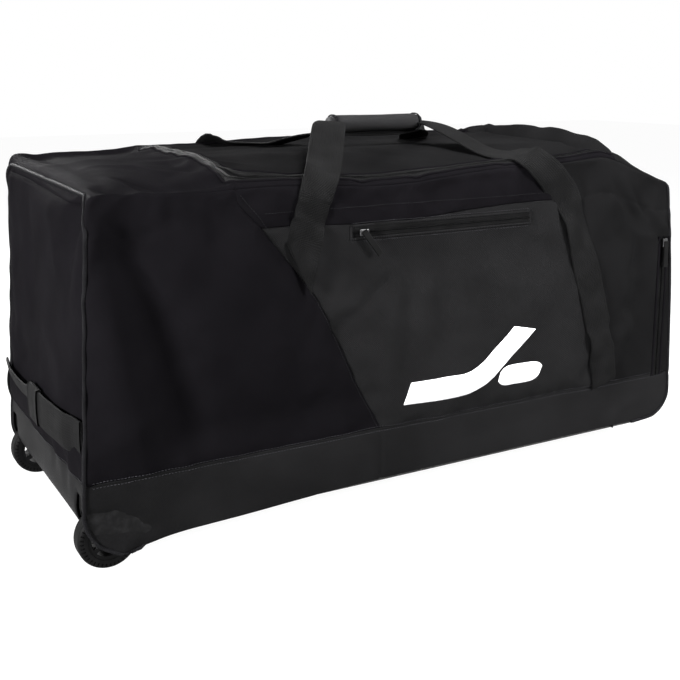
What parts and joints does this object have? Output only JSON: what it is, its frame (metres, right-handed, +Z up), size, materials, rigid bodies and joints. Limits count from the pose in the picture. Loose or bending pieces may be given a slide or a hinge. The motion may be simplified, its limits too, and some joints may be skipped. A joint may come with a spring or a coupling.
{
  "type": "wheeled equipment bag",
  "caption": "Long rectangular wheeled duffel with a coated boot, zipped top lid, flat front pocket, carry straps joined by a padded grip, end handles and skid feet.",
  "frame": {"origin": "on the floor, under the middle of the bag's bounding box", "axes": "+X along the bag away from the wheels, -Y the face with the zipped pocket, +Z up"},
  "size_m": [1.0563, 0.4225, 0.5595],
  "materials": {
    "wall_fabric": "matte woven polyester",
    "pocket_fabric": "matte coarse woven polyester",
    "boot_tarpaulin": "semi-gloss coated fabric",
    "binding": "ribbed binding tape",
    "webbing": "flat woven webbing",
    "grip_fabric": "padded woven wrap",
    "zip_tape": "fine zip tape",
    "zip_coil": "nylon coil",
    "zip_metal": "dark nickel",
    "pull_rubber": "moulded soft pull",
    "moulded_plastic": "textured moulded",
    "board": "extruded sheet",
    "tyre": "moulded polyurethane",
    "hub_plastic": "moulded",
    "bush_nylon": "nylon",
    "steel": "zinc plated",
    "emblem_white": "smooth printed film"
  },
  "bodies": {
    "bag": {"axle_back": "steel", "axle_front": "steel", "back_panel": "wall_fabric", "back_piping": "binding", "back_strap_legs": "webbing", "base_board": "board", "base_screws": "steel", "boot_back": "boot_tarpaulin", "boot_far_end": "boot_tarpaulin", "boot_floor": "boot_tarpaulin", "boot_front": "boot_tarpaulin", "boot_wheel_end": "boot_tarpaulin", "corner_loop": "webbing", "emblem": "emblem_white", "end_divider": "pocket_fabric", "end_zip_coil": "zip_coil", "end_zip_tape": "zip_tape", "far_end_panel": "wall_fabric", "front_left_panel": "wall_fabric", "front_piping": "binding", "front_right_panel": "wall_fabric", "front_strap_legs": "webbing", "front_yoke": "pocket_fabric", "grab_handle": "webbing", "grab_keeper": "webbing", "haul_grip": "grip_fabric", "haul_handle": "webbing", "main_zip_coil": "zip_coil", "main_zip_tape": "zip_tape", "pocket_backing": "pocket_fabric", "pocket_binding": "binding", "pocket_skin": "pocket_fabric", "pocket_zip_coil": "zip_coil", "pocket_zip_tape": "zip_tape", "skid_foot_back": "moulded_plastic", "skid_foot_front": "moulded_plastic", "top_back_band": "wall_fabric", "top_front_band": "wall_fabric", "top_left_panel": "wall_fabric", "top_right_panel": "wall_fabric", "wheel_end_panel": "wall_fabric", "wheel_housing_back": "moulded_plastic", "wheel_housing_front": "moulded_plastic"},
    "wheel_front": {"tyre_front": "tyre", "hub_front": "hub_plastic", "bushes_front": "bush_nylon"},
    "wheel_back": {"tyre_back": "tyre", "hub_back": "hub_plastic", "bushes_back": "bush_nylon"},
    "lid": {"lid_panel": "wall_fabric", "lid_zip_tape": "zip_tape"},
    "front_strap_loop": {"front_strap": "webbing", "grip_wrap": "grip_fabric"},
    "back_strap_loop": {"back_strap": "webbing"},
    "main_slider": {"main_zip_slider": "zip_metal"},
    "main_pull": {"main_zip_pull": "pull_rubber"},
    "pocket_slider": {"pocket_zip_slider": "zip_metal"},
    "pocket_pull": {"pocket_zip_pull": "pull_rubber"},
    "end_slider": {"end_zip_slider": "zip_metal"},
    "end_pull": {"end_zip_pull": "pull_rubber"}
  },
  "joints": [
    {"name": "wheel_front_spin", "type": "hinge", "parent": "bag", "child": "wheel_front", "pos_m": [-0.48, -0.1828, 0.04], "axis": [0, 1, 0], "continuous": true},
    {"name": "wheel_back_spin", "type": "hinge", "parent": "bag", "child": "wheel_back", "pos_m": [-0.48, 0.1828, 0.04], "axis": [0, 1, 0], "continuous": true},
    {"name": "lid_fold", "type": "hinge", "parent": "bag", "child": "lid", "pos_m": [0.035, 0.182, 0.497], "axis": [-1, 0, 0], "range_deg": [0, 70]},
    {"name": "front_strap_fold", "type": "hinge", "parent": "bag", "child": "front_strap_loop", "pos_m": [0.033, -0.209, 0.5335], "axis": [1, 0, 0], "range_deg": [0, 211]},
    {"name": "back_strap_fold", "type": "hinge", "parent": "bag", "child": "back_strap_loop", "pos_m": [0.033, 0.2065, 0.5335], "axis": [-1, 0, 0], "range_deg": [0, 211]},
    {"name": "main_zip_slide", "type": "slide", "parent": "bag", "child": "main_slider", "axis": [0, -1, 0], "range_m": [0, 0.3]},
    {"name": "main_pull_flip", "type": "hinge", "parent": "main_slider", "child": "main_pull", "pos_m": [0.37, 0.136, 0.5043], "axis": [-1, 0, 0], "range_deg": [0, 170]},
    {"name": "pocket_zip_slide", "type": "slide", "parent": "bag", "child": "pocket_slider", "axis": [1, 0, 0], "range_m": [0, 0.28]},
    {"name": "pocket_pull_swing", "type": "hinge", "parent": "pocket_slider", "child": "pocket_pull", "pos_m": [-0.111, -0.2098, 0.409], "axis": [0, 1, 0], "range_deg": [-85, 125]},
    {"name": "end_zip_slide", "type": "slide", "parent": "bag", "child": "end_slider", "axis": [0, 0, -1], "range_m": [0, 0.18]},
    {"name": "end_pull_swing", "type": "hinge", "parent": "end_slider", "child": "end_pull", "pos_m": [0.476, -0.2073, 0.346], "axis": [0, 1, 0], "range_deg": [-70, 70]}
  ],
  "couplings": [
    {"joint": "front_strap_fold", "follows": "lid_fold", "ratio": 3},
    {"joint": "back_strap_fold", "follows": "lid_fold", "ratio": 3}
  ]
}
